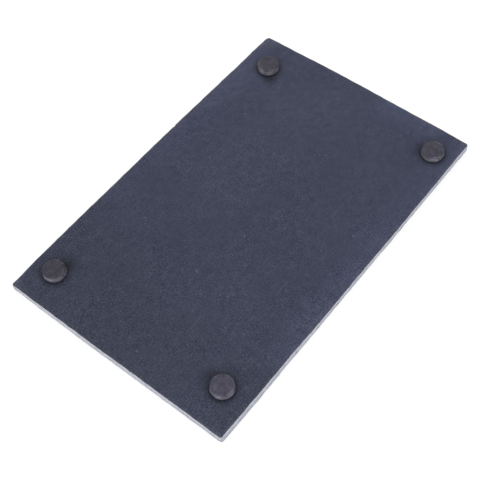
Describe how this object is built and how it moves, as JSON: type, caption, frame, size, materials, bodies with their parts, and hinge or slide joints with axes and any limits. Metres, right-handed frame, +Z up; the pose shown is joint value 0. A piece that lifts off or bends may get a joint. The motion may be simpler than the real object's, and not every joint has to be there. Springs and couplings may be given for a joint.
{
  "type": "slate serving tray",
  "caption": "Flat rectangular slate slab with hand-dressed edges, for serving food, standing on small round rubber feet stuck near its corners.",
  "frame": {"origin": "on the table, under the middle of the tray's bounding box", "axes": "+X along the long side, +Y along the short side towards the back, +Z up through the serving face"},
  "size_m": [0.2, 0.13, 0.0082],
  "materials": {
    "slate": "matt, fine sanded grain with faint scratches and pale bruised edges",
    "foot_rubber": "matt dense rubber, punched from sheet",
    "adhesive_film": "matt black double-sided tape"
  },
  "bodies": {
    "root": {"slate_slab": "slate", "foot_front_left": "foot_rubber", "foot_front_right": "foot_rubber", "foot_back_left": "foot_rubber", "foot_back_right": "foot_rubber", "adhesive_front_left": "adhesive_film", "adhesive_front_right": "adhesive_film", "adhesive_back_left": "adhesive_film", "adhesive_back_right": "adhesive_film"}
  },
  "joints": []
}
